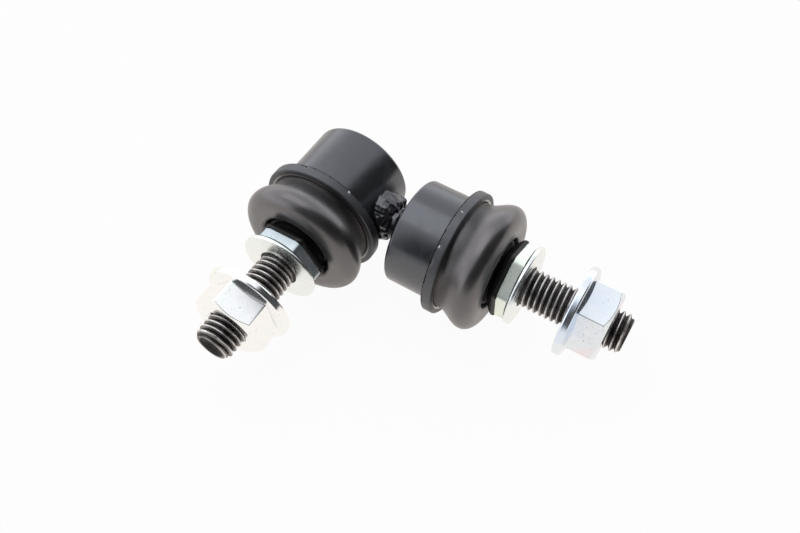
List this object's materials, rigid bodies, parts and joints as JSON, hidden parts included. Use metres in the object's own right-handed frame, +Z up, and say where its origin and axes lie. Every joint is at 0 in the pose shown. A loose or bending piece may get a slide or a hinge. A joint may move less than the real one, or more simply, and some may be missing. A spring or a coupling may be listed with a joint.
{
  "type": "stabilizer link",
  "caption": "L-shaped stabilizer link: sealed ball joints welded at a right angle, with threaded studs, hexagonal collars and flange nuts.",
  "frame": {"origin": "centre of the side stud's collar seat, where the side stud's axis meets the face that a bracket rests on", "axes": "-Y is the way the side stud points, +X is the way the end stud points, and +Z is up as the link lies flat"},
  "size_m": [0.0965, 0.0693, 0.033],
  "materials": {
    "black_paint": "satin black coat on forged steel",
    "black_ring": "satin black coat on a turned ring",
    "acetal": "natural acetal",
    "ball_steel": "polished bearing steel",
    "zinc_stud": "bright zinc plate",
    "zinc_nut": "bright zinc plate",
    "clip_wire": "dark spring wire",
    "boot_rubber": "black rubber with a soft sheen",
    "lip_rubber": "black rubber"
  },
  "bodies": {
    "link": {"side_housing": "black_paint", "side_ball_seat": "acetal", "side_retaining_ring": "black_ring", "side_boot": "boot_rubber", "end_housing": "black_paint", "end_ball_seat": "acetal", "end_retaining_ring": "black_ring", "end_boot": "boot_rubber", "link_rod": "black_paint", "side_weld": "black_paint", "end_weld": "black_paint"},
    "side_ball_body": {"side_ball": "ball_steel"},
    "side_clip_body": {"side_boot_clip": "clip_wire"},
    "side_stud_body": {"side_stud": "zinc_stud", "side_lip_ring": "lip_rubber"},
    "side_nut_body": {"side_nut": "zinc_nut"},
    "end_ball_body": {"end_ball": "ball_steel"},
    "end_clip_body": {"end_boot_clip": "clip_wire"},
    "end_stud_body": {"end_stud": "zinc_stud", "end_lip_ring": "lip_rubber"},
    "end_nut_body": {"end_nut": "zinc_nut"}
  },
  "joints": [
    {"name": "side_direction", "type": "hinge", "parent": "link", "child": "side_ball_body", "pos_m": [0, 0.02235, 0], "axis": [0, -1, 0], "continuous": true},
    {"name": "side_lean", "type": "hinge", "parent": "side_ball_body", "child": "side_clip_body", "pos_m": [0, 0.02235, 0], "axis": [0, 0, 1], "range_deg": [-20, 20], "deforming": ["side_boot"]},
    {"name": "side_spin", "type": "hinge", "parent": "side_clip_body", "child": "side_stud_body", "pos_m": [0, 0.02235, 0], "axis": [0, -1, 0], "continuous": true},
    {"name": "side_nut_run", "type": "slide", "parent": "side_stud_body", "child": "side_nut_body", "axis": [0, -1, 0], "range_m": [-0.0105, 0.02]},
    {"name": "end_direction", "type": "hinge", "parent": "link", "child": "end_ball_body", "pos_m": [0.03185, 0.02705, 0], "axis": [1, 0, 0], "continuous": true},
    {"name": "end_lean", "type": "hinge", "parent": "end_ball_body", "child": "end_clip_body", "pos_m": [0.03185, 0.02705, 0], "axis": [0, 0, 1], "range_deg": [-20, 20], "deforming": ["end_boot"]},
    {"name": "end_spin", "type": "hinge", "parent": "end_clip_body", "child": "end_stud_body", "pos_m": [0.03185, 0.02705, 0], "axis": [1, 0, 0], "continuous": true},
    {"name": "end_nut_run", "type": "slide", "parent": "end_stud_body", "child": "end_nut_body", "axis": [1, 0, 0], "range_m": [-0.0119, 0.02]}
  ]
}
